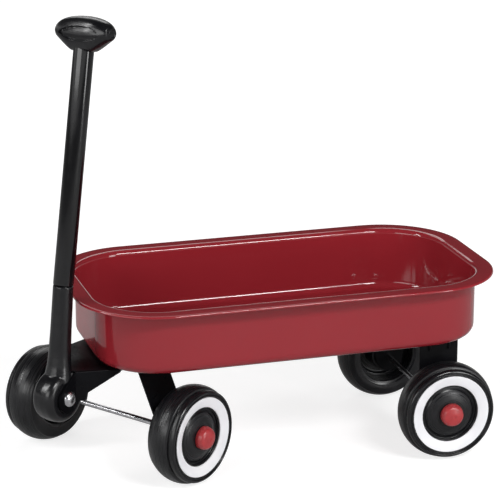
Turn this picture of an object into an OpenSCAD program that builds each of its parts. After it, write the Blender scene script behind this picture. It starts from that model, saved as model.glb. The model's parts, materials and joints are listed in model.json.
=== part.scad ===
// Small pressed-steel pull wagon: a flanged tray on two stamped axle brackets,
// four wheels, a steering bolster on a kingpin and a tilting pull handle.
// +X is forward, +Y is the wagon's left, +Z is up, and the wheels stand on z = 0.

/* [Tray] */
// Length of the tray over its rim
tray_l = 317.5; // [280:0.5:340]
// Width of the tray over its rim
tray_w = 177; // [160:0.5:200]
// Height of the tray from the underside of its floor to the top of its rim
tray_h = 48.6; // [40:0.1:70]
// Plan radius of the rim's four corners
rim_corner_r = 61; // [50:0.5:70]
// Width of the flat rim outside the wall
rim_w = 13.4; // [10:0.1:16]
// Thickness of the tray's sheet
tray_t = 1; // [0.6:0.1:1.4]
// Outside radius of the bend between the floor and the wall
floor_bend_r = 7; // [4:0.5:12]
// Inside radius of the bend between the wall and the rim
rim_bend_r = 3; // [2:0.5:4]
// Depth of the rim's down-turned lip
lip_h = 2.6; // [2.2:0.1:4]
// Outside radius of the bend into the lip
lip_bend_r = 1.8; // [1.6:0.1:2]
// Height of the tray's underside above the ground
tray_clear = 87.9; // [84:0.1:100]

/* [Wheels] */
// Diameter of the tyres over their crowned tread
wheel_d = 73; // [71:0.2:76]
// Diameter of a tyre over the bead beside its white ring
bead_d = 68; // [66:0.2:70]
// Width of a tyre
tyre_w = 26; // [22:0.1:26.4]
// Radius of the crown across the tread
crown_r = 20; // [18:0.5:26]
// Outer diameter of the white ring
ring_outer_d = 59.1; // [56:0.1:60]
// Inner diameter of the white ring
ring_inner_d = 44; // [38:0.1:50]
// Depth of the ring's dish, from its outer edge to its inner edge
ring_dish = 2.1; // [1:0.1:4]
// Thickness of the white ring
ring_t = 1; // [0.6:0.1:1.4]
// Diameter of the boss on the wheel's inner side
boss_d = 25; // [18:0.5:30]
// How far the wheel's sleeve reaches past the tyre's inner side
sleeve_reach = 0.6; // [0.2:0.1:1]
// Diameter of the red hub caps
cap_d = 17.2; // [13:0.1:20]
// Height of a hub cap
cap_h = 7.4; // [5.5:0.1:9]
// Distance of the rear axle behind the middle of the tray
rear_axle_x = 111.5; // [95:0.5:125]
// Rear track, over the outer faces of the white rings
rear_track = 161; // [160:0.2:176]
// Front track, over the outer faces of the white rings
front_track = 165; // [162:0.2:176]

/* [Axles and brackets] */
// Diameter of the steel axles
axle_d = 4; // [3:0.1:5]
// Thickness of the sheet of both brackets
bracket_t = 1.5; // [1:0.1:2]
// Width of the four legs, along the wagon
leg_w = 30.4; // [26:0.2:36]
// Radius of the round foot of a leg, about its axle
foot_r = 11; // [8:0.5:13]
// Length of the spacer between a rear leg and its wheel
rear_spacer_l = 1.1; // [0.6:0.1:6]
// Length of the spacer between a front leg and its wheel
front_spacer_l = 4.2; // [1:0.1:10]
// Distance from the middle of the tray to the kingpin
kingpin_x = 119; // [105:0.5:121]
// How far the front axle lies ahead of the kingpin
axle_lead = 5.5; // [0:0.5:9]
// Width of the bolster's top plate
bolster_w = 65; // [58:0.5:68]
// Height of the bend below which the front legs hang straight down
leg_bend_z = 46.3; // [46:0.1:52]
// Distance from the kingpin to the corners where the nose starts to narrow
wing_x = 38; // [32:0.5:44]
// Distance from the kingpin to the front edge of the nose
nose_x = 61.7; // [58:0.1:64]
// Height at which the nose's side skirts end
skirt_low_z = 65.3; // [60:0.1:68]
// Diameter of the kingpin
kingpin_d = 6; // [5:0.1:7]

/* [Steering and handle] */
// Angle to the left at which the bolster stands
steer = 35; // [0:1:38]
// Backward lean of the handle's yoke from the vertical
yoke_lean = 6.4; // [0:0.2:7]
// Further backward lean of the tube where it leaves the yoke
tube_bend = 2.9; // [0:0.1:3.4]
// Distance from the kingpin to the handle's rivet
rivet_x = 69.3; // [68.6:0.1:74]
// Height of the handle's rivet
rivet_z = 68.6; // [66:0.1:69]
// Diameter of the handle's rivet
rivet_d = 6; // [5:0.1:7]
// Diameter of the yoke's round hub
hub_d = 37; // [30:0.2:37.2]
// Width of the yoke's round hub
hub_w = 19; // [16:0.1:22]
// Length of the yoke from the rivet to the seam with the tube
yoke_l = 81.4; // [60:0.2:110]
// Diameter of the handle's tube
tube_d = 14.7; // [12:0.1:15.5]
// Wall of the handle's tube
tube_t = 1.2; // [0.8:0.1:1.6]
// Length from the seam to the middle of the grip
tube_l = 179.5; // [140:0.5:240]
// Length of the grip, across the wagon
grip_l = 50.4; // [46:0.2:56]
// Height of the grip at its middle
grip_d = 22; // [20:0.2:26]
// Diameter of the grip's flat ends
grip_end_d = 7.6; // [6:0.2:12]
// Tilt of the grip on its tube, left end up
grip_tilt = 3.2; // [0:0.2:6]

/* [Clearances] */
// Radial clearance of a wheel on its axle, and of each pivot on its pin
running_fit = 0.06; // [0.02:0.01:0.1]
// Radial clearance between pieces that are pressed or glued together
seat_fit = 0.05; // [0.02:0.01:0.1]
// End play of each wheel between its spacer and its cap
end_play = 0.3; // [0.2:0.05:0.5]
// Gap between the yoke's hub and each ear of the bolster
ear_gap = 0.4; // [0.3:0.05:0.8]

/* [Hidden] */
$fn = 64;
eps = 0.01;
bend_steps = 6;

tray_red = [0.62, 0.07, 0.1];
cap_red = [0.8, 0.13, 0.15];
black = [0.07, 0.07, 0.075];
tyre_black = [0.1, 0.1, 0.105];
ring_white = [0.93, 0.93, 0.95];
steel = [0.75, 0.76, 0.78];
nylon = [0.85, 0.84, 0.8];

// Heights
axle_z = wheel_d / 2;
washer_t = 1;
plate_top_z = tray_clear - washer_t;
plate_low_z = plate_top_z - bracket_t;

// The origin lies under the middle of the whole wagon
bead_round = 2.2;
front_reach = kingpin_x + axle_lead * cos(steer) + (front_track / 2 - bead_round) * sin(steer)
    + (bead_d / 2 - bead_round) * cos(steer) + bead_round;
tray_x = -(front_reach - tray_l / 2) / 2;

// Wheel, measured along its axle from the plane of the ring's outer edge
sleeve_end = -tyre_w - sleeve_reach;
cap_seat = -1.2;
cap_back = cap_seat + end_play;
stub = 3;
tyre_bore_r = ring_inner_d / 2 - 0.15;
groove_d = 0.8;

// Legs, whose outer faces carry the wheels' spacers
rear_leg_y = rear_track / 2 + sleeve_end - end_play - rear_spacer_l;
front_foot_y = front_track / 2 + sleeve_end - end_play - front_spacer_l;
leg_splay = atan2(front_foot_y - bolster_w / 2, plate_top_z - leg_bend_z);
foot_taper_h = foot_r + 4;

// Nose of the bolster
ear_y = hub_w / 2 + ear_gap + bracket_t;
ear_r = 10.2;
notch_r = hub_w / 2;
notch_x = nose_x + 5.6;
skirt_lobe = 7.5;

// Rivets that hold the rear bracket
bracket_rivet_d = 4;
bracket_rivet_head_d = 8;
bracket_rivet_head_h = 1.8;
bracket_rivet_peen_d = 7;
bracket_rivet_peen_h = 1.2;
bracket_rivet_x = leg_w / 4;
bracket_rivet_y = rear_leg_y * 0.6;

// Kingpin
pivot_washer_d = 30;
kingpin_head_d = 14;
kingpin_head_h = 3;
lower_washer_d = 16;
peen_d = 10;
peen_h = 2;

// Handle
handle_rivet_head_d = 11.3;
handle_rivet_head_h = 3.4;
hub_edge_r = 7.5;
spigot_d = tube_d - 2 * tube_t - 2 * seat_fit;
spigot_l = 18;
grip_cap_l = 1.5;

function arc(cx, cy, r, a0, a1, n = bend_steps) =
    [for (i = [0:n]) let (a = a0 + (a1 - a0) * i / n) [cx + r * cos(a), cy + r * sin(a)]];

// ---- placing ----

module at_tray() {
    translate([tray_x, 0, 0]) children();
}

// The truck's own frame stands on the kingpin's axis and turns with the steering
module at_truck() {
    translate([tray_x + kingpin_x, 0, 0]) rotate([0, 0, steer]) children();
}

// An axle's frame has +Z along the axle, outward on the given side, and z = 0 at its middle
module rear_axle_frame(side) {
    at_tray() translate([-rear_axle_x, 0, axle_z]) rotate([-90 * side, 0, 0]) children();
}

module front_axle_frame(side) {
    at_truck() translate([axle_lead, 0, axle_z]) rotate([-90 * side, 0, 0]) children();
}

module rear_wheel_frame(side) {
    rear_axle_frame(side) translate([0, 0, rear_track / 2]) children();
}

module front_wheel_frame(side) {
    front_axle_frame(side) translate([0, 0, front_track / 2]) children();
}

module at_rivet() {
    at_truck() translate([rivet_x, 0, rivet_z]) children();
}

module yoke_frame() {
    at_rivet() rotate([0, -yoke_lean, 0]) children();
}

module tube_frame() {
    yoke_frame() translate([0, 0, yoke_l]) rotate([0, -tube_bend, 0]) children();
}

module grip_frame() {
    tube_frame() translate([0, 0, tube_l]) rotate([grip_tilt, 0, 0]) children();
}

// ---- tray ----

// Section through the wall, from the corner's axis outward: floor, wall, rim and lip
module wall_section() {
    wall_r = rim_corner_r - rim_w;
    bend_x = wall_r + rim_bend_r;
    bend_y = tray_h - tray_t - rim_bend_r;
    lip_x = rim_corner_r - lip_bend_r;
    lip_y = tray_h - lip_bend_r;
    polygon(concat(
        [[0, 0]],
        arc(wall_r - floor_bend_r, floor_bend_r, floor_bend_r, -90, 0),
        arc(bend_x, bend_y, rim_bend_r, 180, 90),
        arc(lip_x, lip_y, lip_bend_r - tray_t, 90, 0),
        [[rim_corner_r - tray_t, tray_h - lip_h], [rim_corner_r, tray_h - lip_h]],
        arc(lip_x, lip_y, lip_bend_r, 0, 90),
        arc(bend_x, bend_y, rim_bend_r + tray_t, 90, 180),
        arc(wall_r - floor_bend_r, floor_bend_r, floor_bend_r - tray_t, 0, -90),
        [[0, tray_t]]
    ));
}

module tray_wall() {
    half_l = tray_l / 2 - rim_corner_r;
    half_w = tray_w / 2 - rim_corner_r;
    for (i = [0:3]) {
        sx = (i == 0 || i == 3) ? 1 : -1;
        sy = (i < 2) ? 1 : -1;
        along = (i % 2 == 0) ? 2 * half_w : 2 * half_l;
        translate([sx * half_l, sy * half_w, 0]) rotate([0, 0, 90 * i]) {
            rotate_extrude(angle = 90) wall_section();
            rotate([90, 0, 0]) linear_extrude(along) wall_section();
        }
    }
    translate([-half_l, -half_w, 0]) cube([2 * half_l, 2 * half_w, tray_t]);
}

module tray() {
    color(tray_red) at_tray() difference() {
        translate([0, 0, tray_clear]) tray_wall();
        translate([kingpin_x, 0, tray_clear - eps])
            cylinder(d = kingpin_d + 2 * seat_fit, h = tray_t + 2 * eps);
        bracket_rivet_places()
            translate([0, 0, tray_clear - eps])
                cylinder(d = bracket_rivet_d + 2 * seat_fit, h = tray_t + 2 * eps);
    }
}

// ---- rear bracket ----

module bracket_rivet_places() {
    for (x = [-1, 1], y = [-1, 1])
        translate([-rear_axle_x + x * bracket_rivet_x, y * bracket_rivet_y, 0]) children();
}

// Side outline of the legs, from the axle's centre: a round foot, a taper and the full width
module leg_outline(taper_h, height) {
    circle(r = foot_r);
    polygon([
        [-foot_r, 0], [foot_r, 0], [leg_w / 2, taper_h], [leg_w / 2, height],
        [-leg_w / 2, height], [-leg_w / 2, taper_h]
    ]);
}

// A strip of sheet bent into a U: a flat top, legs that splay out, and upright feet.
// Its frame has the axle's centre at the origin, +X along the wagon and +Z up.
module bent_strip(half, splay, bend_h, height, taper_h) {
    foot_y = half + (height - bend_h) * tan(splay);
    in_half = half - bracket_t * tan(45 - splay / 2);
    in_foot = foot_y - bracket_t;
    in_bend = bend_h - bracket_t * tan(splay / 2);
    low = -foot_r - 1;
    intersection() {
        rotate([90, 0, 90]) linear_extrude(leg_w + 2, center = true) polygon([
            [half, height], [foot_y, bend_h], [foot_y, low], [in_foot, low], [in_foot, in_bend],
            [in_half, height - bracket_t], [-in_half, height - bracket_t], [-in_foot, in_bend],
            [-in_foot, low], [-foot_y, low], [-foot_y, bend_h], [-half, height]
        ]);
        rotate([90, 0, 0]) linear_extrude(2 * foot_y + 4, center = true)
            leg_outline(taper_h, height + 1);
    }
}

module rear_bracket() {
    rib_r = 1.3;
    rib_l = 9;
    height = tray_clear - axle_z;
    color(black) difference() {
        at_tray() translate([-rear_axle_x, 0, axle_z]) {
            bent_strip(rear_leg_y, 0, height / 2, height, foot_taper_h);
            for (x = [-1, 1], side = [-1, 1])
                translate([x * bracket_rivet_x, side * (rear_leg_y - 0.1), height - rib_l - 0.5])
                    cylinder(r = rib_r, h = rib_l);
        }
        rear_axle_frame(1) cylinder(r = axle_d / 2 + seat_fit, h = rear_track, center = true);
        at_tray() bracket_rivet_places() translate([0, 0, tray_clear - bracket_t - eps])
            cylinder(d = bracket_rivet_d + 2 * seat_fit, h = bracket_t + 2 * eps);
    }
}

// A rivet along +Z: a domed head on top, and a flat peened end below
module rivet(shank_d, grip, head_d, head_h, peened_d, peened_h) {
    dome_r = (pow(head_d / 2, 2) + pow(head_h, 2)) / (2 * head_h);
    cylinder(d = shank_d, h = grip);
    translate([0, 0, -peened_h]) cylinder(d = peened_d, h = peened_h);
    translate([0, 0, grip]) intersection() {
        translate([0, 0, head_h - dome_r]) sphere(r = dome_r);
        cylinder(d = head_d, h = head_h + 1);
    }
}

module rear_bracket_rivets() {
    color(steel) at_tray() bracket_rivet_places()
        translate([0, 0, tray_clear - bracket_t]) rivet(
            bracket_rivet_d, bracket_t + tray_t, bracket_rivet_head_d, bracket_rivet_head_h,
            bracket_rivet_peen_d, bracket_rivet_peen_h
        );
}

// ---- bolster and kingpin ----

// Flat top of the nose, notched for the handle's hub
module nose_plate() {
    half = bolster_w / 2;
    difference() {
        translate([0, 0, plate_low_z]) linear_extrude(bracket_t) polygon([
            [axle_lead, -half], [wing_x, -half], [nose_x, -ear_y],
            [nose_x, ear_y], [wing_x, half], [axle_lead, half]
        ]);
        translate([notch_x, 0, plate_low_z - eps]) cylinder(r = notch_r, h = bracket_t + 2 * eps);
    }
}

// Side skirt along the nose's slanted edge, deep at the ear and running out at the wing
module skirt(side) {
    run_x = nose_x - wing_x;
    run_y = bolster_w / 2 - ear_y;
    run = norm([run_x, run_y]) - 0.5;
    top_z = plate_top_z - bracket_t / 2;
    into_ear = 0.5;
    translate([nose_x, side * ear_y, 0]) rotate([0, 0, side * (180 - atan2(run_y, run_x))])
        rotate([90, 0, 0]) translate([0, 0, side > 0 ? -bracket_t : 0])
            linear_extrude(bracket_t) polygon([
                [-into_ear, top_z], [run, top_z], [run, plate_low_z],
                [skirt_lobe + 1, skirt_low_z + 5], [skirt_lobe, skirt_low_z], [-into_ear, skirt_low_z - 1]
            ]);
}

// Ear that carries one end of the handle's rivet
module ear(side) {
    translate([0, side * ear_y, 0]) rotate([90, 0, 0])
        translate([0, 0, side > 0 ? 0 : -bracket_t]) linear_extrude(bracket_t) {
            translate([rivet_x, rivet_z]) circle(r = ear_r);
            polygon([
                [nose_x - bracket_t, skirt_low_z - 1], [rivet_x, rivet_z - ear_r + 1],
                [rivet_x + ear_r * cos(25), rivet_z + ear_r * sin(25)],
                [rivet_x + ear_r * 0.1, rivet_z + ear_r * 1.15],
                [nose_x + 3.5, plate_top_z - 3], [nose_x + 0.8, plate_top_z],
                [nose_x - bracket_t, plate_top_z]
            ]);
        }
}

module front_bolster() {
    color(black) difference() {
        at_truck() union() {
            translate([axle_lead, 0, axle_z]) bent_strip(
                bolster_w / 2, leg_splay, leg_bend_z - axle_z, plate_top_z - axle_z, leg_bend_z - axle_z
            );
            nose_plate();
            for (side = [-1, 1]) {
                skirt(side);
                ear(side);
            }
        }
        at_truck() translate([0, 0, plate_low_z - eps])
            cylinder(r = kingpin_d / 2 + running_fit, h = bracket_t + 2 * eps);
        front_axle_frame(1) cylinder(r = axle_d / 2 + seat_fit, h = front_track, center = true);
        at_rivet() rotate([90, 0, 0]) cylinder(r = rivet_d / 2 + seat_fit, h = 3 * hub_w, center = true);
    }
}

// A flat ring of the given diameters and thickness
module washer(outer_d, inner_d, t) {
    difference() {
        cylinder(d = outer_d, h = t);
        translate([0, 0, -eps]) cylinder(d = inner_d, h = t + 2 * eps);
    }
}

module pivot_washer() {
    color(nylon) at_truck() translate([0, 0, plate_top_z])
        washer(pivot_washer_d, kingpin_d + 2 * running_fit, washer_t);
}

module kingpin_lower_washer() {
    color(steel) at_truck() translate([0, 0, plate_low_z - washer_t])
        washer(lower_washer_d, kingpin_d + 2 * seat_fit, washer_t);
}

module kingpin() {
    shank = 2 * washer_t + bracket_t + tray_t;
    color(steel) at_truck() translate([0, 0, plate_low_z - washer_t])
        rivet(kingpin_d, shank, kingpin_head_d, kingpin_head_h, peen_d, peen_h);
}

// ---- axles, wheels, caps and spacers ----

module rear_axle() {
    color(steel) rear_axle_frame(1)
        cylinder(d = axle_d, h = rear_track + 2 * stub, center = true);
}

module front_axle() {
    color(steel) front_axle_frame(1)
        cylinder(d = axle_d, h = front_track + 2 * stub, center = true);
}

// Height of the ring's back face at radius r
function ring_back(r) = -ring_t - (ring_outer_d / 2 - r) * ring_dish * 2 / (ring_outer_d - ring_inner_d);

// Half section of a tyre: bore, ring seat, fine grooves, bead, tread groove, crown, inner side
module tyre_section() {
    bead_r = bead_d / 2;
    crown_x = wheel_d / 2 - crown_r;
    crown_y = -0.48 * tyre_w;
    seat_r = ring_outer_d / 2 + seat_fit;
    edge = (bead_r - seat_r) / 5;
    inner_round = 4;
    tread_y = -6.6;
    inner_y = -tyre_w + inner_round / 2;
    outer_a = asin((tread_y - crown_y) / crown_r);
    inner_a = asin((inner_y - crown_y) / crown_r);
    tread_x = crown_x + crown_r * cos(outer_a);
    inner_x = crown_x + crown_r * cos(inner_a);
    polygon(concat(
        [[tyre_bore_r, -tyre_w], [tyre_bore_r, ring_back(tyre_bore_r) - seat_fit]],
        [[seat_r, ring_back(seat_r) - seat_fit], [seat_r + edge / 2, -0.9], [seat_r + edge, -0.4]],
        [[seat_r + 1.5 * edge, -0.4], [seat_r + 2 * edge, -0.9], [seat_r + 2.6 * edge, -0.2]],
        arc(bead_r - bead_round, -bead_round, bead_round, 80, 0),
        [[bead_r + 0.3, -3.6], [bead_r - groove_d, -4.4], [bead_r - groove_d, -5.2]],
        arc(crown_x, crown_y, crown_r, outer_a, inner_a, 12),
        [[inner_x - inner_round / 2, -tyre_w + 0.4], [inner_x - inner_round, -tyre_w]]
    ));
}

module tyre() {
    color(tyre_black) rotate_extrude() tyre_section();
}

// Half section of a hub: rim inside the tyre, domed web, cap seat, sleeve and inner boss
module hub_section() {
    rim_r = tyre_bore_r - seat_fit;
    rim_front = ring_back(tyre_bore_r) - 0.2;
    well_r = rim_r - 1.6;
    seat_r = cap_d / 2 + 0.3;
    bore_r = axle_d / 2 + running_fit;
    web_t = 3;
    well_front = rim_front - 1.4;
    skirt_end = well_front - web_t - 3;
    dome = [for (i = [0:bend_steps]) let (k = i / bend_steps)
        [well_r + (seat_r - well_r) * k, well_front + (cap_seat - well_front) * sin(90 * k)]];
    polygon(concat(
        [[bore_r, cap_seat], [bore_r, sleeve_end], [bore_r + 3, sleeve_end]],
        [[bore_r + 3, -tyre_w + 1], [boss_d / 2, -tyre_w + 1], [boss_d / 2, well_front - web_t]],
        [[rim_r - 1.8, well_front - web_t], [rim_r - 1.8, skirt_end], [rim_r, skirt_end]],
        [[rim_r, rim_front]],
        dome
    ));
}

module wheel_hub() {
    color(black) rotate_extrude() hub_section();
}

module white_ring() {
    outer_r = ring_outer_d / 2;
    inner_r = ring_inner_d / 2;
    color(ring_white) rotate_extrude() polygon([
        [inner_r, -ring_dish], [outer_r, 0], [outer_r, -ring_t], [inner_r, -ring_dish - ring_t]
    ]);
}

// Push-on cap: a round drum with a soft edge and a low dome, bored for the axle's end
module hub_cap() {
    r = cap_d / 2;
    edge_r = 3;
    dome_h = 0.8;
    bore_r = axle_d / 2 + seat_fit;
    bore_h = stub - cap_back + 0.3;
    color(cap_red) translate([0, 0, cap_back]) rotate_extrude() polygon(concat(
        [[bore_r, 0], [r, 0]],
        arc(r - edge_r, cap_h - dome_h - edge_r, edge_r, 0, 80),
        [[0, cap_h], [0, bore_h], [bore_r, bore_h]]
    ));
}

// Spacer tube between a leg's foot and the wheel's sleeve
module wheel_spacer(track, foot_y) {
    reach = track / 2 + sleeve_end - foot_y;
    color(steel) translate([0, 0, foot_y]) washer(axle_d + 5, axle_d + 2 * seat_fit, reach - end_play);
}

// ---- handle ----

module handle_rivet() {
    grip = 2 * ear_y;
    head_d = handle_rivet_head_d;
    head_h = handle_rivet_head_h;
    dome_r = (pow(head_d / 2, 2) + pow(head_h, 2)) / (2 * head_h);
    color(steel) at_rivet() rotate([90, 0, 0]) {
        cylinder(d = rivet_d, h = grip, center = true);
        for (end = [0, 1]) mirror([0, 0, end]) translate([0, 0, grip / 2]) intersection() {
            translate([0, 0, head_h - dome_r]) sphere(r = dome_r);
            cylinder(d = head_d, h = head_h + 1);
        }
    }
}

module yoke_hub() {
    edge_r = hub_edge_r;
    half = hub_w / 2;
    r = hub_d / 2;
    rotate([90, 0, 0]) rotate_extrude() polygon(concat(
        [[0, -half], [r - edge_r, -half]],
        arc(r - edge_r, -half + edge_r, edge_r, -75, 0),
        arc(r - edge_r, half - edge_r, edge_r, 0, 75),
        [[r - edge_r, half], [0, half]]
    ));
}

// Moulded yoke: a round hub on the rivet, a slightly flared sleeve and a spigot for the tube
module handle_yoke() {
    neck_r = tube_d / 2 + 0.7;
    flare_r = neck_r + 0.4;
    flare_l = hub_d / 2 + 8;
    trim_l = 10;
    color(black) {
        difference() {
            yoke_frame() {
                yoke_hub();
                rotate_extrude() polygon([
                    [0, 0], [flare_r, 0], [neck_r - 0.1, flare_l], [tube_d / 2, yoke_l],
                    [tube_d / 2, yoke_l + 1], [0, yoke_l + 1]
                ]);
            }
            tube_frame() cylinder(d = 2 * tube_d, h = trim_l);
            at_rivet() rotate([90, 0, 0])
                cylinder(r = rivet_d / 2 + running_fit, h = 2 * hub_w, center = true);
        }
        tube_frame() translate([0, 0, -2]) cylinder(d = spigot_d, h = spigot_l + 2);
    }
}

module handle_tube() {
    color(black) tube_frame() difference() {
        cylinder(d = tube_d, h = tube_l - grip_d / 4);
        translate([0, 0, -eps]) cylinder(d = tube_d - 2 * tube_t, h = tube_l);
    }
}

// Radius of the grip's spindle at the given distance from its middle
function spindle_r(y) =
    sqrt(pow(grip_d / 2, 2) - (pow(grip_d / 2, 2) - pow(grip_end_d / 2, 2)) * pow(2 * y / grip_l, 2));

// Spindle grip with flat ends, fuller below where it takes the tube, dished front and back
module handle_grip() {
    end_k = grip_end_d / grip_d;
    spindle_l = grip_l / sqrt(1 - pow(end_k, 2));
    collar_drop = grip_d * 0.61;
    dish_r = 30;
    dish_depth = 1.2;
    color(black) difference() {
        grip_frame() difference() {
            hull() {
                intersection() {
                    scale([1, spindle_l / grip_d, 1]) sphere(d = grip_d, $fn = 32);
                    cube([grip_d, grip_l - 2 * grip_cap_l, grip_d], center = true);
                }
                translate([0, -collar_drop * tan(grip_tilt), -collar_drop])
                    cylinder(d = tube_d + 2, h = 0.5, center = true, $fn = 32);
            }
            for (face = [-1, 1]) translate([face * (grip_d / 2 + dish_r / 3 - dish_depth), 0, 0])
                scale([1 / 3, 0.62, 0.2]) sphere(r = dish_r, $fn = 48);
        }
        tube_frame() cylinder(r = tube_d / 2 + seat_fit, h = tube_l - grip_d / 4 + 0.3);
    }
}

module grip_end_caps() {
    half = grip_l / 2;
    color(tyre_black) grip_frame() for (side = [0, 1])
        rotate([side ? 90 : -90, 0, 0]) translate([0, 0, half - grip_cap_l])
            cylinder(r1 = spindle_r(half - grip_cap_l), r2 = grip_end_d / 2, h = grip_cap_l);
}

tray();
rear_bracket();
rear_bracket_rivets();
rear_axle();
front_bolster();
pivot_washer();
kingpin();
kingpin_lower_washer();
front_axle();
rear_wheel_frame(1) tyre();  // tyre_rear_left
rear_wheel_frame(-1) tyre();  // tyre_rear_right
front_wheel_frame(1) tyre();  // tyre_front_left
front_wheel_frame(-1) tyre();  // tyre_front_right
rear_wheel_frame(1) wheel_hub();  // wheel_hub_rear_left
rear_wheel_frame(-1) wheel_hub();  // wheel_hub_rear_right
front_wheel_frame(1) wheel_hub();  // wheel_hub_front_left
front_wheel_frame(-1) wheel_hub();  // wheel_hub_front_right
rear_wheel_frame(1) white_ring();  // white_ring_rear_left
rear_wheel_frame(-1) white_ring();  // white_ring_rear_right
front_wheel_frame(1) white_ring();  // white_ring_front_left
front_wheel_frame(-1) white_ring();  // white_ring_front_right
rear_wheel_frame(1) hub_cap();  // hub_cap_rear_left
rear_wheel_frame(-1) hub_cap();  // hub_cap_rear_right
front_wheel_frame(1) hub_cap();  // hub_cap_front_left
front_wheel_frame(-1) hub_cap();  // hub_cap_front_right
rear_axle_frame(1) wheel_spacer(rear_track, rear_leg_y);  // wheel_spacer_rear_left
rear_axle_frame(-1) wheel_spacer(rear_track, rear_leg_y);  // wheel_spacer_rear_right
front_axle_frame(1) wheel_spacer(front_track, front_foot_y);  // wheel_spacer_front_left
front_axle_frame(-1) wheel_spacer(front_track, front_foot_y);  // wheel_spacer_front_right
handle_rivet();
handle_yoke();
handle_tube();
handle_grip();
grip_end_caps();
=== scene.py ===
"""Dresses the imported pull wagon: detailed meshes, procedural materials, camera and light.

Sizes are in millimetres in the helpers and become metres when a mesh is made.
The shared frame has +X forward, +Y to the wagon's left and +Z up, with the ground at z = 0.
"""
import json
from math import atan2, cos, hypot, pi, radians, sin, sqrt, tan

import bmesh
import bpy
from mathutils import Matrix, Vector


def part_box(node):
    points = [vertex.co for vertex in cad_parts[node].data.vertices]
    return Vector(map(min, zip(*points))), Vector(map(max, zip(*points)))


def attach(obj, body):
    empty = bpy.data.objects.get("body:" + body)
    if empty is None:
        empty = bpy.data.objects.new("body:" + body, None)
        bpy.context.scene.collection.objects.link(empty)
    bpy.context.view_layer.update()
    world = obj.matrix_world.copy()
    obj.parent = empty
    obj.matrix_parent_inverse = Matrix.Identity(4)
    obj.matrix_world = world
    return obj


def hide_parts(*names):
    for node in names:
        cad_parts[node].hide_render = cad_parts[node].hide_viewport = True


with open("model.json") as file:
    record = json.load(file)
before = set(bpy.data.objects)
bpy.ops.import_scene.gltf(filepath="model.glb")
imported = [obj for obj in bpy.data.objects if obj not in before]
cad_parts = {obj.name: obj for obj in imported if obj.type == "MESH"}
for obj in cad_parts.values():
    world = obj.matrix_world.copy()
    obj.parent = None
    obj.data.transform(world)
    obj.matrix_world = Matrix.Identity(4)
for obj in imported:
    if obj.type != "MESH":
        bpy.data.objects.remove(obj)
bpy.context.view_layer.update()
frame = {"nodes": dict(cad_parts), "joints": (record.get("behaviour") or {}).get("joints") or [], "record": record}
MM = 0.001

# ---------------------------------------------------------------- sizes, in millimetres

TRAY_T = 1.0
RIM_CORNER_R = 61.0
RIM_W = 13.4
FLOOR_BEND_R = 7.0
RIM_BEND_R = 3.0
LIP_H = 1.7
LIP_BEND_R = 1.3
LIP_EDGE_R = 0.3

TYRE_R = 36.5
BEAD_R = 34.0
TYRE_W = 26.0
CROWN_R = 20.0
CROWN_SHARE = 0.48  # how far across the tyre its widest circle lies
TREAD_Y = -6.4
TYRE_BACK_Y = -TYRE_W + 2
RING_OUTER_R = 29.55
RING_INNER_R = 22.0
RING_DISH = 2.1
RING_T = 1.0
BOSS_R = 12.5
SLEEVE_WALL = 3.0
WEB_T = 3
HUB_RIM_DROP = 0.15
HUB_WELL_DEPTH = 1.6
DOME_RISE = 0.12  # height of each fine step on the hub's dome
CAP_R = 8.6
CAP_H = 7.4
CAP_SEAT = -1.2
CAP_BACK = -0.9
CAP_CROWN_R = 5.6
AXLE_R = 2.0
ROD_CHAMFER = 0.4

SHEET_T = 1.5
SHEET_EDGE_R = 0.3
LEG_W = 30.4
FOOT_R = 11.0
FOOT_TAPER = 4
BRACKET_SHIFT = 1.2
RIB_DROP = 10
RIB_SEAT = 0.15
BOLSTER_W = 65.0
LEG_SPLAY = radians(25)
LEG_BEND_Z = 46.3
WING_X = 38.0
NOSE_X = 61.7
SKIRT_LOW_Z = 65.3
EAR_R = 10.2
EAR_FIT = 0.4
RIVET_ROD_R = 3.0
RIVET_HEAD_R = 5.65
RIVET_HEAD_H = 3.4
RIVET_EDGE_H = 0.35

YOKE_L = 81.4
YOKE_LEAN = radians(6.4)
TUBE_BEND = radians(2.9)
TUBE_R = 7.35
TUBE_L = 179.5
TUBE_WALL = 1.2
TUBE_END_GAP = 6
SEAM = 0.25
HUB_R = 18.5
HUB_W = 19.0
HUB_BORE_R = 3.1
VOXEL = 0.55
GRIP_L = 50.4
GRIP_UP = 11.0
GRIP_DOWN = 13.6
GRIP_DEEP = 9.4
GRIP_END_R = 3.8
GRIP_SHOULDER_R = 5.15
GRIP_CAP_L = 1.5
GRIP_TILT = radians(3.2)
GRIP_NECK = 8.5  # half the width of the grip's straight lower middle
DISH_SHIFT = 0.3
DISH_REACH = 17.6
DISH_TALL = 5.0
DISH_DROP = 1.2
DISH_DEPTH = 1.9
PAD_H = 0.7

# ---------------------------------------------------------------- places, from the frame

joints = {j["name"]: j for j in frame["joints"]}
tray_low, tray_high = (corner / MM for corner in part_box("tray"))
tray_x = (tray_low.x + tray_high.x) / 2
kingpin = Vector(joints["steering"]["pos_m"]) / MM
truck_left = Vector(joints["handle_tilt"]["axis"])
steer = atan2(-truck_left.x, truck_left.y)
rivet = Vector(joints["handle_tilt"]["pos_m"]) / MM
plate_top_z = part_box("front_bolster")[1].z / MM
rear_bracket_low, rear_bracket_high = (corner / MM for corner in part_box("rear_bracket"))
rear_axle_low, rear_axle_high = (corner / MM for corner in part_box("rear_axle"))
axle_z = (rear_axle_low.z + rear_axle_high.z) / 2
rear_axle_x = (rear_axle_low.x + rear_axle_high.x) / 2
front_axle_low, front_axle_high = (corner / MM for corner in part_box("front_axle"))
front_axle = (front_axle_low + front_axle_high) / 2

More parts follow.
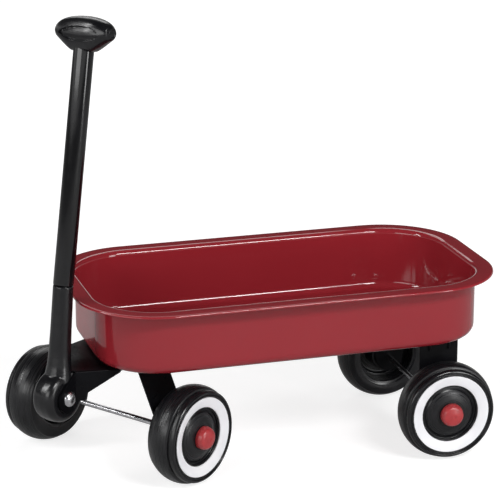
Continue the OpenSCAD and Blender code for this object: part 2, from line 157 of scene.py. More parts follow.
truck_frame = Matrix.Translation((kingpin.x, kingpin.y, 0)) @ Matrix.Rotation(steer, 4, "Z")
to_truck = truck_frame.inverted()
axle_x = (to_truck @ front_axle).x
rivet_x = (to_truck @ rivet).x
rivet_frame = truck_frame @ Matrix.Translation((rivet_x, 0, rivet.z))
yoke_frame = rivet_frame @ Matrix.Rotation(-YOKE_LEAN, 4, "Y")
tube_frame = yoke_frame @ Matrix.Translation((0, 0, YOKE_L)) @ Matrix.Rotation(-TUBE_BEND, 4, "Y")
grip_frame = tube_frame @ Matrix.Translation((0, 0, TUBE_L)) @ Matrix.Rotation(GRIP_TILT, 4, "X")
ear_y = HUB_W / 2 + EAR_FIT + SHEET_T


def wheel_frame(name):
    """Frame of a wheel: +Z along its axle, outward, with z = 0 at the white ring's outer edge."""
    joint = joints["wheel_spin_" + name]
    side = 1 if name.endswith("left") else -1
    outward = Vector(joint["axis"]) * side
    turn = Matrix.Rotation(atan2(outward.y, outward.x), 4, "Z") @ Matrix.Rotation(pi / 2, 4, "Y")
    centre = Vector(joint["pos_m"]) / MM + outward * TYRE_W / 2
    return Matrix.Translation(centre) @ turn


# ---------------------------------------------------------------- outlines

def arc(cx, cy, r, start, end, steps=8):
    """Points on an arc, with angles in degrees."""
    angles = [radians(start + (end - start) * i / steps) for i in range(steps + 1)]
    return [(cx + r * cos(a), cy + r * sin(a)) for a in angles]


def rounded(points, closed=False, steps=6):
    """A polyline of (x, y) or (x, y, radius) with an arc at each corner that has a radius."""
    out = []
    count = len(points)
    for i, point in enumerate(points):
        corner = Vector(point[:2])
        radius = point[2] if len(point) > 2 else 0
        if radius <= 0 or (not closed and i in (0, count - 1)):
            out.append(tuple(corner))
            continue
        before = (Vector(points[i - 1][:2]) - corner).normalized()
        after = (Vector(points[(i + 1) % count][:2]) - corner).normalized()
        half = before.angle(after) / 2
        centre = corner + (before + after).normalized() * radius / sin(half)
        first = corner + before * radius / tan(half) - centre
        last = corner + after * radius / tan(half) - centre
        turn = first.angle_signed(last)
        for k in range(steps + 1):
            spoke = first.copy()
            spoke.rotate(Matrix.Rotation(-turn * k / steps, 2))
            out.append(tuple(centre + spoke))
    return out


# ---------------------------------------------------------------- meshes

def finish_mesh(name, mesh, place, sharp=35, own_frame=False):
    """Turns a mesh in millimetres into an object in metres at its place.

    The place goes into the mesh, unless the piece's material follows the piece's own axes.
    """
    if not own_frame:
        mesh.transform(place)
    mesh.transform(Matrix.Scale(MM, 4))
    mesh.shade_smooth()
    mesh.set_sharp_from_angle(angle=radians(sharp))
    piece = bpy.data.objects.new(name, mesh)
    bpy.context.scene.collection.objects.link(piece)
    if own_frame:
        scaled = place.copy()
        scaled.translation = place.translation * MM
        piece.matrix_world = scaled
        bpy.context.view_layer.update()
    return piece


def mesh_from(name, verts, faces):
    """Mesh with shared corners welded and faces turned outward."""
    mesh = bpy.data.meshes.new(name)
    mesh.from_pydata(verts, [], faces)
    bm = bmesh.new()
    bm.from_mesh(mesh)
    bmesh.ops.remove_doubles(bm, verts=bm.verts, dist=1e-4)
    bmesh.ops.recalc_face_normals(bm, faces=bm.faces)
    bm.to_mesh(mesh)
    bm.free()
    return mesh


def revolved(name, profile, steps=128):
    """A closed solid of revolution about Z from (radius, height) points that form a loop."""
    verts = []
    for k in range(steps):
        a = 2 * pi * k / steps
        verts += [(r * cos(a), r * sin(a), z) for r, z in profile]
    n = len(profile)
    faces = []
    for k in range(steps):
        here, there = k * n, (k + 1) % steps * n
        faces += [(here + i, there + i, there + (i + 1) % n, here + (i + 1) % n) for i in range(n)]
    mesh = mesh_from(name, verts, faces)
    bm = bmesh.new()
    bm.from_mesh(mesh)
    bmesh.ops.dissolve_degenerate(bm, dist=1e-5, edges=bm.edges)
    bm.to_mesh(mesh)
    bm.free()
    return mesh


def swept_tray(name, profile, half_l, half_w, corner_steps=28, side_steps=10):
    """Sweeps (radius, height) points round a rounded rectangle and closes both ends flat."""
    stations = []
    for i, (sx, sy) in enumerate(((1, 1), (-1, 1), (-1, -1), (1, -1))):
        centre = Vector((sx * half_l, sy * half_w))
        for k in range(corner_steps + 1):
            a = radians(90 * i + 90 * k / corner_steps)
            stations.append((centre, Vector((cos(a), sin(a)))))
        to_x, to_y = ((-1, 1), (-1, -1), (1, -1), (1, 1))[i]
        after = Vector((to_x * half_l, to_y * half_w))
        outward = Vector((cos(radians(90 * i + 90)), sin(radians(90 * i + 90))))
        for k in range(1, side_steps):
            stations.append((centre.lerp(after, k / side_steps), outward))
    n = len(profile)
    verts = []
    for centre, outward in stations:
        verts += [(centre.x + outward.x * r, centre.y + outward.y * r, z) for r, z in profile]
    count = len(stations)
    faces = []
    for k in range(count):
        here, there = k * n, (k + 1) % count * n
        faces += [(here + i, there + i, there + i + 1, here + i + 1) for i in range(n - 1)]
    faces.append([k * n for k in range(count)])
    faces.append([k * n + n - 1 for k in reversed(range(count))])
    return mesh_from(name, verts, faces)


def sheet_metal(name, panels, place, fold):
    """Flat panels that share edges, folded with a radius there and thickened about their middle."""
    verts, faces = [], []
    for panel in panels:
        faces.append(list(range(len(verts), len(verts) + len(panel))))
        verts += panel
    mesh = mesh_from(name, verts, faces)
    bm = bmesh.new()
    bm.from_mesh(mesh)
    folds = [e for e in bm.edges if len(e.link_faces) == 2 and e.calc_face_angle() > radians(4)]
    bmesh.ops.bevel(
        bm, geom=folds, offset=fold, segments=5, profile=0.5, affect="EDGES", clamp_overlap=True)
    bm.to_mesh(mesh)
    bm.free()
    piece = finish_mesh(name, mesh, place, 60)
    solid = piece.modifiers.new("thickness", "SOLIDIFY")
    solid.thickness = SHEET_T * MM
    solid.offset = 0
    solid.use_even_offset = True
    soft = piece.modifiers.new("edges", "BEVEL")
    soft.width = SHEET_EDGE_R * MM
    soft.segments = 2
    soft.limit_method = "ANGLE"
    soft.angle_limit = radians(50)
    soft.harden_normals = True
    return piece


def apply_modifiers(piece):
    """Replaces a piece's mesh by the one its modifiers make."""
    evaluated = piece.evaluated_get(bpy.context.evaluated_depsgraph_get())
    mesh = bpy.data.meshes.new_from_object(evaluated)
    piece.modifiers.clear()
    piece.data = mesh


# ---------------------------------------------------------------- materials

def new_material(name, **settings):
    """A Principled material; settings name its sockets."""
    material = bpy.data.materials.new(name)
    material.use_nodes = True
    shader = material.node_tree.nodes["Principled BSDF"]
    for socket, value in settings.items():
        shader.inputs[socket.replace("_", " ")].default_value = value
    return material, material.node_tree, shader


def add_node(tree, kind, **settings):
    """Adds a node; settings name its properties or its sockets."""
    node = tree.nodes.new(kind)
    for key, value in settings.items():
        if hasattr(node, key):
            setattr(node, key, value)
        else:
            node.inputs[key.replace("_", " ")].default_value = value
    return node


def noise(tree, scale, detail=3.0, roughness=0.5, stretch=(1, 1, 1)):
    """Noise in the piece's own coordinates, with features per metre given by scale."""
    place = add_node(tree, "ShaderNodeTexCoord")
    squeeze = add_node(tree, "ShaderNodeMapping")
    squeeze.inputs["Scale"].default_value = stretch
    texture = add_node(tree, "ShaderNodeTexNoise", Scale=scale, Detail=detail, Roughness=roughness)
    tree.links.new(place.outputs["Object"], squeeze.inputs["Vector"])
    tree.links.new(squeeze.outputs["Vector"], texture.inputs["Vector"])
    return texture.outputs["Fac"]


def blend_colours(tree, shader, factor, dark, light, low=0.35, high=0.65):
    """Base colour that runs between two colours with the factor."""
    ramp = add_node(tree, "ShaderNodeValToRGB")
    ramp.color_ramp.elements[0].position = low
    ramp.color_ramp.elements[0].color = (*dark, 1)
    ramp.color_ramp.elements[1].position = high
    ramp.color_ramp.elements[1].color = (*light, 1)
    tree.links.new(factor, ramp.inputs["Fac"])
    tree.links.new(ramp.outputs["Color"], shader.inputs["Base Color"])


def vary_roughness(tree, shader, factor, low, high):
    """Roughness that runs between two values with the factor."""
    spread = add_node(tree, "ShaderNodeMapRange")
    spread.inputs["To Min"].default_value = low
    spread.inputs["To Max"].default_value = high
    tree.links.new(factor, spread.inputs["Value"])
    tree.links.new(spread.outputs["Result"], shader.inputs["Roughness"])


def add_bump(tree, shader, height, strength, distance):
    bump = add_node(tree, "ShaderNodeBump", Strength=strength, Distance=distance)
    tree.links.new(height, bump.inputs["Height"])
    tree.links.new(bump.outputs["Normal"], shader.inputs["Normal"])


# Darker and lighter base colour of each material
RED_ENAMEL = (0.255, 0.0165, 0.0235), (0.272, 0.0185, 0.026)
BLACK_ENAMEL = (0.002, 0.002, 0.0025), (0.005, 0.005, 0.006)
MOULDED_BLACK = (0.004, 0.004, 0.005), (0.008, 0.008, 0.009)
SCUFFED_BLACK = (0.004, 0.004, 0.005), (0.014, 0.014, 0.016)
RING_WHITE = (0.80, 0.80, 0.83), (0.86, 0.86, 0.88)
CAP_RED = (0.34, 0.026, 0.03), (0.42, 0.036, 0.04)
STEEL = (0.46, 0.46, 0.48), (0.62, 0.62, 0.64)
NYLON = (0.62, 0.60, 0.54), (0.70, 0.68, 0.62)


def red_enamel():
    """Glossy baked enamel with a faint orange peel and slight unevenness."""
    material, tree, shader = new_material("tray_red_enamel", Specular_IOR_Level=0.5)
    blend_colours(tree, shader, noise(tree, 9.0, 2.0), *RED_ENAMEL)
    vary_roughness(tree, shader, noise(tree, 60.0), 0.05, 0.1)
    add_bump(tree, shader, noise(tree, 900.0, 2.0), 0.03, 0.0002)
    return material


def black_enamel(name, roughness, gloss):
    """Glossy black enamel on sheet or tube, with fine dust in it."""
    material, tree, shader = new_material(name, Specular_IOR_Level=gloss)
    blend_colours(tree, shader, noise(tree, 40.0), *BLACK_ENAMEL)
    vary_roughness(tree, shader, noise(tree, 120.0, 4.0), roughness - 0.04, roughness + 0.06)
    add_bump(tree, shader, noise(tree, 900.0, 3.0), 0.03, 0.0002)
    return material


def moulded_black(name, roughness, gloss):
    """Moulded black plastic with a soft mottle."""
    material, tree, shader = new_material(name, Specular_IOR_Level=gloss)
    blend_colours(tree, shader, noise(tree, 70.0), *MOULDED_BLACK)
    vary_roughness(tree, shader, noise(tree, 260.0, 4.0), roughness - 0.06, roughness + 0.08)
    add_bump(tree, shader, noise(tree, 1500.0, 3.0), 0.08, 0.00015)
    return material


def turned_black(name, gloss, smooth, rough, axis):
    """Black moulded plastic with scuffs and fine rings along one axis of the piece."""
    material, tree, shader = new_material(name, Specular_IOR_Level=gloss)
    place = add_node(tree, "ShaderNodeTexCoord")
    split = add_node(tree, "ShaderNodeSeparateXYZ")
    tree.links.new(place.outputs["Object"], split.inputs["Vector"])
    distance = split.outputs["Z"]
    if axis == "radius":
        flat = add_node(tree, "ShaderNodeCombineXYZ")
        tree.links.new(split.outputs["X"], flat.inputs["X"])
        tree.links.new(split.outputs["Y"], flat.inputs["Y"])
        length = add_node(tree, "ShaderNodeVectorMath", operation="LENGTH")
        tree.links.new(flat.outputs["Vector"], length.inputs[0])
        distance = length.outputs["Value"]
    rings = add_node(tree, "ShaderNodeTexNoise", noise_dimensions="1D", Scale=800.0, Detail=5.0)
    tree.links.new(distance, rings.inputs["W"])
    scuffs = noise(tree, 120.0, 6.0, 0.7, (1, 1, 5))
    blend_colours(tree, shader, scuffs, *SCUFFED_BLACK, 0.4, 0.75)
    streaks = add_node(tree, "ShaderNodeMapRange")
    streaks.inputs["From Min"].default_value = 0.35
    streaks.inputs["From Max"].default_value = 0.65
    tree.links.new(rings.outputs["Fac"], streaks.inputs["Value"])
    vary_roughness(tree, shader, streaks.outputs["Result"], smooth, rough)
    both = add_node(tree, "ShaderNodeMath", operation="MULTIPLY_ADD")
    both.inputs[1].default_value = 0.8
    tree.links.new(rings.outputs["Fac"], both.inputs[0])
    tree.links.new(scuffs, both.inputs[2])
    add_bump(tree, shader, both.outputs["Value"], 0.3, 0.0004)
    return material


def white_plastic():
    material, tree, shader = new_material("ring_white_plastic")
    blend_colours(tree, shader, noise(tree, 60.0), *RING_WHITE)
    vary_roughness(tree, shader, noise(tree, 200.0), 0.35, 0.5)
    return material


def red_plastic():
    material, tree, shader = new_material("cap_red_plastic", Coat_Weight=0.15, Coat_Roughness=0.3)
    blend_colours(tree, shader, noise(tree, 160.0), *CAP_RED)
    vary_roughness(tree, shader, noise(tree, 400.0), 0.28, 0.42)
    add_bump(tree, shader, noise(tree, 700.0), 0.1, 0.0003)
    return material


def bright_steel(name, roughness):
    """Bright steel with faint, soft marks."""
    material, tree, shader = new_material(name, Metallic=1.0)
    marks = noise(tree, 220.0, 4.0, 0.5)
    blend_colours(tree, shader, marks, *STEEL)
    vary_roughness(tree, shader, marks, roughness - 0.06, roughness + 0.08)
    add_bump(tree, shader, marks, 0.02, 0.0002)
    return material


def nylon():
    material, tree, shader = new_material("washer_nylon", Subsurface_Weight=0.1)
    blend_colours(tree, shader, noise(tree, 120.0), *NYLON)
    vary_roughness(tree, shader, noise(tree, 300.0), 0.4, 0.55)
    return material


MATERIALS = {
    "tray_red": red_enamel(),
    "bracket_black": black_enamel("bracket_black_enamel", 0.28, 0.07),
    "tube_black": black_enamel("tube_black_enamel", 0.1, 0.45),
    "handle_black": moulded_black("handle_black_plastic", 0.23, 0.4),
    "hub_black": turned_black("hub_black_plastic", 0.35, 0.22, 0.5, "radius"),
    "tyre_black": turned_black("tyre_black_plastic", 0.4, 0.14, 0.46, "width"),
    "ring_white": white_plastic(),
    "cap_red": red_plastic(),
    "steel": bright_steel("bright_steel", 0.24),
    "washer_nylon": nylon(),
}


def dress(piece, slot, body, *nodes):
    """Gives a piece its material and slot, sets it on its body, and lets it stand for CAD nodes."""
    piece.data.materials.clear()
    piece.data.materials.append(MATERIALS[slot])
    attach(piece, body)
    if nodes:
        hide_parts(*nodes)


# ---------------------------------------------------------------- tray

def make_tray():
    height = tray_high.z - tray_low.z
    wall_r = RIM_CORNER_R - RIM_W
    start_r = wall_r - FLOOR_BEND_R - 0.5
    profile = rounded([
        (start_r, TRAY_T), (wall_r - TRAY_T, TRAY_T, FLOOR_BEND_R - TRAY_T),
        (wall_r - TRAY_T, height, RIM_BEND_R + TRAY_T), (RIM_CORNER_R, height, LIP_BEND_R),
        (RIM_CORNER_R, height - LIP_H, LIP_EDGE_R), (RIM_CORNER_R - TRAY_T, height - LIP_H, LIP_EDGE_R),
        (RIM_CORNER_R - TRAY_T, height - TRAY_T, LIP_BEND_R - TRAY_T),
        (wall_r, height - TRAY_T, RIM_BEND_R), (wall_r, 0, FLOOR_BEND_R), (start_r, 0),
    ], steps=8)
    half_l = (tray_high.x - tray_low.x) / 2 - RIM_CORNER_R
    half_w = (tray_high.y - tray_low.y) / 2 - RIM_CORNER_R
    mesh = swept_tray("tray_pan", profile, half_l, half_w)
    tray = finish_mesh("tray_pan", mesh, Matrix.Translation((tray_x, 0, tray_low.z)), 40)
    dress(tray, "tray_red", "wagon", "tray")


# ---------------------------------------------------------------- wheels

def ring_back(r):
    """Height of the white ring's back face at radius r."""
    return -RING_T - (RING_OUTER_R - r) * RING_DISH / (RING_OUTER_R - RING_INNER_R)


def tyre_profile():
    """Section of a tyre: the ring's seat, grooves and a bead beside it, the tread and the inner side."""
    bore_r = RING_INNER_R - 0.15
    seat_r = RING_OUTER_R + 0.05
    crown_x = TYRE_R - CROWN_R
    crown_y = -CROWN_SHARE * TYRE_W
    ends = []
    for y in (TREAD_Y, TYRE_BACK_Y):
        ends.append((180 / pi) * atan2(y - crown_y, sqrt(CROWN_R ** 2 - (y - crown_y) ** 2)))
    tread = arc(crown_x, crown_y, CROWN_R, ends[0], ends[1], 24)
    beside_ring = rounded([
        (bore_r, ring_back(bore_r) - 0.05), (seat_r, ring_back(seat_r) - 0.05), (seat_r, -0.75, 0.2),
        (seat_r + 0.55, -0.75, 0.15), (seat_r + 0.7, -0.25, 0.25), (seat_r + 1.35, -0.25, 0.25),
        (seat_r + 1.5, -0.95, 0.2), (seat_r + 2.05, -0.95, 0.2), (seat_r + 2.3, -0.1, 0.6),
        (BEAD_R, -0.3, 1.7), (BEAD_R + 0.2, -3.9, 0.5), (BEAD_R - 0.7, -4.5, 0.3),
        (BEAD_R - 0.7, -5.4, 0.3), (tread[0][0] - 0.5, -5.9, 0.3), tread[0],
    ], steps=4)
    inner_x = tread[-1][0]
    inner_side = rounded([
        tread[-1], (inner_x - 0.9, -TYRE_W + 0.3, 1.2), (inner_x - 5, -TYRE_W + 0.02, 4),
        (RING_INNER_R + 2.5, -TYRE_W + 0.5, 3), (bore_r, -TYRE_W + 1.5, 0.8), (bore_r, -TYRE_W + 6),
    ], steps=5)
    return beside_ring + tread[1:] + inner_side[1:]


def hub_profile():
    """Section of a hub: bore, inner sleeve and boss, web, rim, and a finely stepped dome."""
    rim_r = RING_INNER_R - 0.2
    rim_front = ring_back(rim_r) - HUB_RIM_DROP
    bore_r = AXLE_R + 0.06
    sleeve_r = bore_r + SLEEVE_WALL
    well = rim_front - HUB_WELL_DEPTH
    web_back = well - WEB_T
    skirt_back = web_back - 3
    dome_start, dome_end = rim_r - 1.8, CAP_R + 0.4
    dome = []
    for k in range(15):
        share = k / 14
        r = dome_start + (dome_end - dome_start) * share
        steps_up = (share > 0.1) + (share > 0.2)
        dome.append((r, well + (CAP_SEAT - well) * sin(pi / 2 * share) + (steps_up - 2) * DOME_RISE))
        if k in (1, 2):
            dome.append((r - 0.08, dome[-1][1] + DOME_RISE))
    return [(bore_r, CAP_SEAT), (bore_r, -TYRE_W - 0.6), (sleeve_r, -TYRE_W - 0.6)] + rounded([
        (sleeve_r, -TYRE_W + 1), (BOSS_R, -TYRE_W + 1, 1), (BOSS_R, web_back, 1),
        (rim_r - 2, web_back, 1.2), (rim_r - 1.8, skirt_back, 0.4), (rim_r, skirt_back),
        (rim_r, rim_front, 0.4), (rim_r - 0.9, rim_front, 0.4), (rim_r - 1.1, well - 0.2, 0.5), dome[0],
    ], steps=4) + dome[1:]


def ring_profile():
    return rounded([
        (RING_INNER_R, -RING_DISH, 0.3), (RING_OUTER_R, 0, 0.35), (RING_OUTER_R, -RING_T, 0.2),
        (RING_INNER_R, -RING_DISH - RING_T, 0.2),
    ], closed=True, steps=4)


def cap_profile():
    """Section of a hub cap: bore for the axle, round shoulder and low dome with a gate mark."""
    bore_r = AXLE_R + 0.05
    front = CAP_BACK + CAP_H
    shell = rounded([
        (bore_r, CAP_BACK), (CAP_R - 0.1, CAP_BACK, 0.4), (CAP_R, CAP_BACK + 2.6, 2),
        (CAP_R - 1.1, front - 1.7, 2.6), (CAP_CROWN_R, front - 0.75),
    ], steps=8)
    dome = [(r, front - 0.8 * (r / CAP_CROWN_R) ** 2) for r in (5.4, 4.5, 3.6, 2.7, 1.8)]
    gate_mark = [(1.2, front - 0.12), (1.0, front - 0.45), (0, front - 0.5)]
    return shell + dome + gate_mark + [(0, CAP_BACK + 5), (bore_r, CAP_BACK + 4.9)]


def make_wheels():
    """Each wheel's four turned pieces. The cap rides with the axle, the rest with the wheel."""
    shapes = {
        "tyre": (revolved("tyre", tyre_profile(), 160), "tyre_black"),
        "wheel_hub": (revolved("wheel_hub", hub_profile()), "hub_black"),
        "white_ring": (revolved("white_ring", ring_profile(), 160), "ring_white"),
        "hub_cap": (revolved("hub_cap", cap_profile(), 64), "cap_red"),
    }
    for name in ("rear_left", "rear_right", "front_left", "front_right"):
        place = wheel_frame(name)
        carrier = "truck" if name.startswith("front") else "wagon"
        for kind, (mesh, slot) in shapes.items():
            node = f"{kind}_{name}"
            piece = finish_mesh(node + "_shape", mesh.copy(), place, own_frame=True)
            dress(piece, slot, carrier if kind == "hub_cap" else "wheel_" + name, node)


# ---------------------------------------------------------------- axles and rivets

def rod_profile(radius, length):
    half, end_r = length / 2, radius - ROD_CHAMFER
    return [(0, -half), (end_r, -half), (radius, -half + ROD_CHAMFER), (radius, half - ROD_CHAMFER),
            (end_r, half), (0, half)]


def make_axles():
    rear_l = rear_axle_high.y - rear_axle_low.y
    front_l = (front_axle_high.y - front_axle_low.y - 2 * AXLE_R * sin(steer)) / cos(steer)
    along_y = Matrix.Rotation(pi / 2, 4, "X")
    places = {
        "rear": (rear_l, Matrix.Translation((rear_axle_x, 0, axle_z)) @ along_y, "wagon"),
        "front": (front_l, truck_frame @ Matrix.Translation((axle_x, 0, axle_z)) @ along_y, "truck"),
    }
    for end, (length, place, body) in places.items():
        rod = finish_mesh(end + "_axle_rod", revolved("rod", rod_profile(AXLE_R, length), 40), place)
        dress(rod, "steel", body, end + "_axle")


def make_handle_rivet():
    """Round rivet with a low domed head at each end, seated on the ears."""
    edge = ear_y + RIVET_EDGE_H
    head = [(RIVET_HEAD_R, ear_y), (RIVET_HEAD_R, edge)]
    for degrees in range(10, 90, 8):
        a = radians(degrees)
        head.append((RIVET_HEAD_R * cos(a), edge + (RIVET_HEAD_H - RIVET_EDGE_H) * sin(a)))
    profile = [(RIVET_ROD_R, ear_y)] + head + [(0, ear_y + RIVET_HEAD_H)]
    profile = [(r, -z) for r, z in reversed(profile)] + profile
    place = rivet_frame @ Matrix.Rotation(pi / 2, 4, "X")
    piece = finish_mesh("handle_rivet_shape", revolved("handle_rivet_shape", profile, 64), place)
    dress(piece, "steel", "truck", "handle_rivet")


# ---------------------------------------------------------------- brackets

def foot_points(centre_x, y, taper_z):
    """Outline of a leg's flat foot below its taper, round about the axle."""
    across = arc(centre_x, axle_z, FOOT_R, 0, -180, 24)
    points = [(centre_x + LEG_W / 2, y, taper_z)] + [(x, y, z) for x, z in across]
    points.append((centre_x - LEG_W / 2, y, taper_z))
    return points


def make_rear_bracket():
    """U of sheet with round feet and a small pressed rib at each end of each leg's top."""
    mid = SHEET_T / 2
    x, y = rear_axle_x, (rear_bracket_high.y - rear_bracket_low.y) / 2 - BRACKET_SHIFT - mid
    top = tray_low.z - mid
    half = LEG_W / 2
    taper_z = axle_z + FOOT_R + FOOT_TAPER
    panels = [[(x - half, -y, top), (x + half, -y, top), (x + half, y, top), (x - half, y, top)]]
    for side in (-1, 1):
        leg = [(x + half, side * y, top)] + foot_points(x, side * y, taper_z)
        leg.append((x - half, side * y, top))
        panels.append(leg if side < 0 else leg[::-1])
    bracket = sheet_metal("rear_bracket_sheet", panels, Matrix.Identity(4), 1.6)
    apply_modifiers(bracket)
    dress(bracket, "bracket_black", "wagon", "rear_bracket")
    rib_profile = [(0, 0), (0.9, 0.2), (1.25, 0.9), (1.3, 2), (1.3, 8), (1, 9), (0, 9.2)]
    for side in (-1, 1):
        for end in (-1, 1):
            rib = revolved("rib", rib_profile, 24)
            spot = Vector((x + end * LEG_W / 4, side * (y + mid - RIB_SEAT), top + mid - RIB_DROP))
            where = ("left" if side > 0 else "right") + "_" + ("front" if end > 0 else "rear")
            name = "rear_bracket_rib_" + where
            dress(finish_mesh(name, rib, Matrix.Translation(spot)), "bracket_black", "wagon")


def make_front_bolster():
    """One stamping: flat top, splayed legs with upright feet, skirted nose and two ears."""
    mid = SHEET_T / 2
    top = plate_top_z - mid
    half = BOLSTER_W / 2 - mid * tan(pi / 4 - LEG_SPLAY / 2)
    foot_y = BOLSTER_W / 2 + (plate_top_z - LEG_BEND_Z) * tan(LEG_SPLAY) - mid
    bend_z = LEG_BEND_Z - mid * tan(LEG_SPLAY / 2)
    ear = ear_y - mid
    front, rear = axle_x + LEG_W / 2, axle_x - LEG_W / 2
    slope = (BOLSTER_W / 2 - ear_y) / (NOSE_X - WING_X)
    run = hypot(1, slope)
    wing = (WING_X - mid * (run - 1) / slope, BOLSTER_W / 2)
    nose_x = WING_X + (BOLSTER_W / 2 - mid * run - ear) / slope
    notch_r, notch_x = HUB_W / 2, NOSE_X + 5.6
    reach = (180 / pi) * atan2(sqrt(notch_r ** 2 - (notch_x - nose_x) ** 2), notch_x - nose_x)
    notch = arc(notch_x, 0, notch_r, 180 - reach, 180 + reach, 20)
    plate = [(rear, -half), (front, -half), (front + 0.8, -wing[1]), (wing[0], -wing[1]), (nose_x, -ear)]
    plate += [(x, y) for x, y in reversed(notch)]
    plate += [(nose_x, ear), (wing[0], wing[1]), (front + 0.8, wing[1]), (front, half), (rear, half)]
    panels = [[(x, y, top) for x, y in plate]]
    for side in (-1, 1):
        leg = [(rear, side * half, top), (front, side * half, top),
               (front, side * foot_y, bend_z), (rear, side * foot_y, bend_z)]
        foot = foot_points(axle_x, side * foot_y, bend_z)
        back = Vector((wing[0] - nose_x, wing[1] - ear)).normalized()
        lobe = Vector((nose_x, ear)) + back * 8
        tip = Vector((nose_x, ear)) + back * 6.5
        skirt = [(nose_x, side * ear, top), (wing[0], side * wing[1], top),
                 (wing[0] - 0.3, side * wing[1], top - 1.2),
                 (lobe.x, side * lobe.y, SKIRT_LOW_Z + 5), (tip.x, side * tip.y, SKIRT_LOW_Z),
                 (nose_x, side * ear, SKIRT_LOW_Z - 1)]
        round_ear = arc(rivet_x, rivet.z, EAR_R, -115, 25, 24) + [
            (rivet_x + 1.5, rivet.z + EAR_R * 1.12), (NOSE_X + 3.5, plate_top_z - 3.2),
            (NOSE_X + 1.6, plate_top_z - mid), (nose_x, top)]
        ear_panel = [(nose_x, side * ear, SKIRT_LOW_Z - 1)] + [(x, side * ear, z) for x, z in round_ear]
        panels += [leg, foot, skirt, ear_panel]
    bolster = sheet_metal("front_bolster_sheet", panels, truck_frame, 1.8)
    apply_modifiers(bolster)
    dress(bolster, "bracket_black", "truck", "front_bolster")


# ---------------------------------------------------------------- handle

def make_yoke():
    """Round hub and flared sleeve, joined with a soft fillet by remeshing."""
    half = HUB_W / 2
    hub = revolved("yoke_hub", rounded([
        (HUB_BORE_R, -half), (HUB_R - 0.6, -half, 5), (HUB_R + 0.1, 0, 12), (HUB_R - 0.6, half, 5),
        (HUB_BORE_R, half),
    ], steps=14), 96)
    hub.transform(Matrix.Rotation(pi / 2, 4, "X"))
    neck = TUBE_R + 0.7
    sleeve = revolved("yoke_sleeve", [
        (0, HUB_R * 0.6), (neck + 2.6, HUB_R * 0.6), (neck + 1.6, HUB_R - 1), (neck + 0.7, HUB_R + 4),
        (neck + 0.1, HUB_R + 11), (TUBE_R + 0.3, YOKE_L * 0.6), (TUBE_R, YOKE_L - 0.15), (0, YOKE_L - 0.15),
    ], 96)
    bm = bmesh.new()
    bm.from_mesh(hub)
    bm.from_mesh(sleeve)
    mesh = bpy.data.meshes.new("handle_yoke_shape")
    bm.to_mesh(mesh)
    bm.free()
    yoke = finish_mesh("handle_yoke_shape", mesh, yoke_frame, 180)
    remesh = yoke.modifiers.new("join", "REMESH")
    remesh.mode = "VOXEL"
    remesh.voxel_size = VOXEL * MM
    smooth = yoke.modifiers.new("fillet", "SMOOTH")
    smooth.factor = 0.5
    smooth.iterations = 11
    apply_modifiers(yoke)
    yoke.data.shade_smooth()
    dress(yoke, "handle_black", "handle", "handle_yoke")


def make_tube():
    """Tube from the seam on the yoke up into the grip's collar."""
    inner_r, top = TUBE_R - TUBE_WALL, TUBE_L - TUBE_END_GAP
    profile = rounded([
        (inner_r, SEAM), (TUBE_R, SEAM, 0.4), (TUBE_R, top), (inner_r, top),
    ], closed=True, steps=4)
    tube = finish_mesh("handle_tube_shape", revolved("handle_tube_shape", profile, 72), tube_frame)
    dress(tube, "tube_black", "handle", "handle_tube")


def smooth_step(low, high, value):
    """Share from 0 to 1 as the value goes from low to high, with soft ends."""
    share = min(max((value - low) / (high - low), 0), 1)
    return share * share * (3 - 2 * share)


def grip_point(w, angle):
    """Point of the grip's skin at distance w along it and an angle round it from the front."""
    half = GRIP_L / 2 - GRIP_CAP_L
    k = min(abs(w) / half, 1)
    past_neck = max(abs(w) - GRIP_NECK, 0)
    end_share = 1 - (GRIP_SHOULDER_R / GRIP_UP) ** 2
    up = GRIP_UP * sqrt(1 - end_share * k * k)
    deep = GRIP_SHOULDER_R + (GRIP_DEEP - GRIP_SHOULDER_R) * max(1 - k ** 3.0, 0) ** 0.7
    skirt = 1 - smooth_step(GRIP_NECK, half * 1.02, abs(w))
    linear = 1 - past_neck / (half - GRIP_NECK)
    down = GRIP_SHOULDER_R + (GRIP_DOWN - GRIP_SHOULDER_R) * (0.75 * linear + 0.25 * skirt)
    c, s = cos(angle), sin(angle)
    box = 2 + 0.9 * (1 - k ** 4) if s > 0 else 2 + 1.1 * linear
    x = deep * abs(c) ** (2 / box) * (1 if c > 0 else -1)
    z = (up if s > 0 else down) * abs(s) ** (2 / box) * (1 if s > 0 else -1)
    along = (w + DISH_SHIFT) / DISH_REACH
    pointed = 1.25 if along < 0 else 0.75
    tall = DISH_TALL * max(1 - abs(along) ** (2 / pointed), 0) ** (0.5 * pointed)
    across = abs(z + DISH_DROP) / max(tall, 0.01)
    inside = 1 - smooth_step(0.86, 1.04, across) if abs(along) < 1 else 0
    pad = PAD_H * (1 - min(across, 1) ** 2)
    push = (pad - DISH_DEPTH) * inside
    if abs(c) > 0.3:
        x += push * (1 if c > 0 else -1)
    return (x, w, z)


